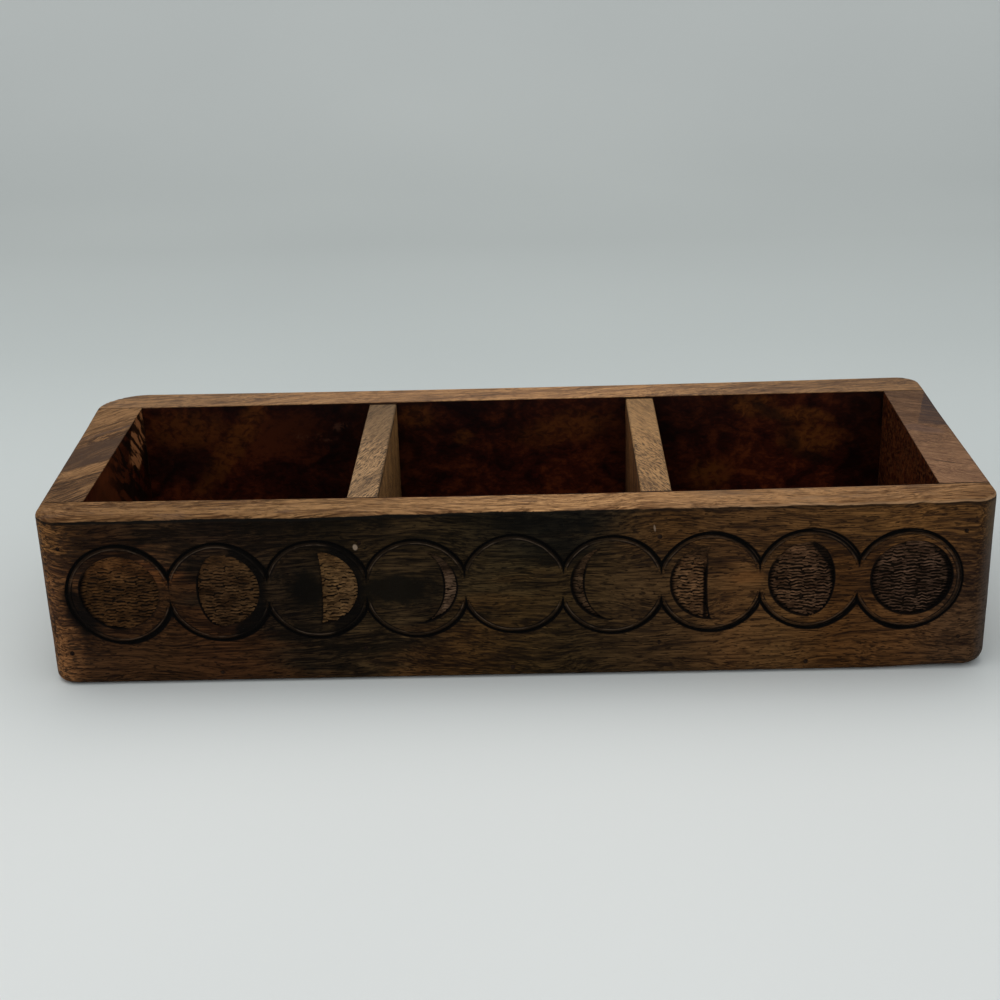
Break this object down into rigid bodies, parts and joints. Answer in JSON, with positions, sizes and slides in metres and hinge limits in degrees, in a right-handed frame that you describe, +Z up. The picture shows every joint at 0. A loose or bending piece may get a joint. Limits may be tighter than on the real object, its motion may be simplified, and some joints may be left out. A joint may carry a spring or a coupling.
{
  "type": "compartment organizer box",
  "caption": "Long open-topped wooden organizer box with thick walls, fixed dividers, rounded corners and a row of moon phases carved along its front.",
  "frame": {"origin": "on the surface the box stands on, under the middle of its outside", "axes": "+X along the box's length to the right as seen from the carved front, +Y from the front to the back, +Z up"},
  "size_m": [0.3264, 0.127, 0.0635],
  "materials": {
    "front_wood": "dark stain, worn satin",
    "back_wood": "brown stain, satin",
    "end_wood": "brown stain, satin",
    "bottom_wood": "dark red-brown stain, satin",
    "divider_wood": "sanded, thin stain",
    "brad_steel": "plain drawn wire"
  },
  "bodies": {
    "root": {"front_board": "front_wood", "back_board": "back_wood", "left_end_board": "end_wood", "right_end_board": "end_wood", "bottom_board": "bottom_wood", "left_divider": "divider_wood", "right_divider": "divider_wood", "front_lower_brad_left_corner": "brad_steel", "front_upper_brad_left_corner": "brad_steel", "front_lower_brad_left_divider": "brad_steel", "front_upper_brad_left_divider": "brad_steel", "front_lower_brad_right_divider": "brad_steel", "front_upper_brad_right_divider": "brad_steel", "front_lower_brad_right_corner": "brad_steel", "front_upper_brad_right_corner": "brad_steel", "front_bottom_brad_1": "brad_steel", "front_bottom_brad_2": "brad_steel", "front_bottom_brad_3": "brad_steel", "back_lower_brad_left_corner": "brad_steel", "back_upper_brad_left_corner": "brad_steel", "back_lower_brad_left_divider": "brad_steel", "back_upper_brad_left_divider": "brad_steel", "back_lower_brad_right_divider": "brad_steel", "back_upper_brad_right_divider": "brad_steel", "back_lower_brad_right_corner": "brad_steel", "back_upper_brad_right_corner": "brad_steel", "back_bottom_brad_1": "brad_steel", "back_bottom_brad_2": "brad_steel", "back_bottom_brad_3": "brad_steel", "left_bottom_brad_1": "brad_steel", "left_bottom_brad_2": "brad_steel", "right_bottom_brad_1": "brad_steel", "right_bottom_brad_2": "brad_steel"}
  },
  "joints": []
}
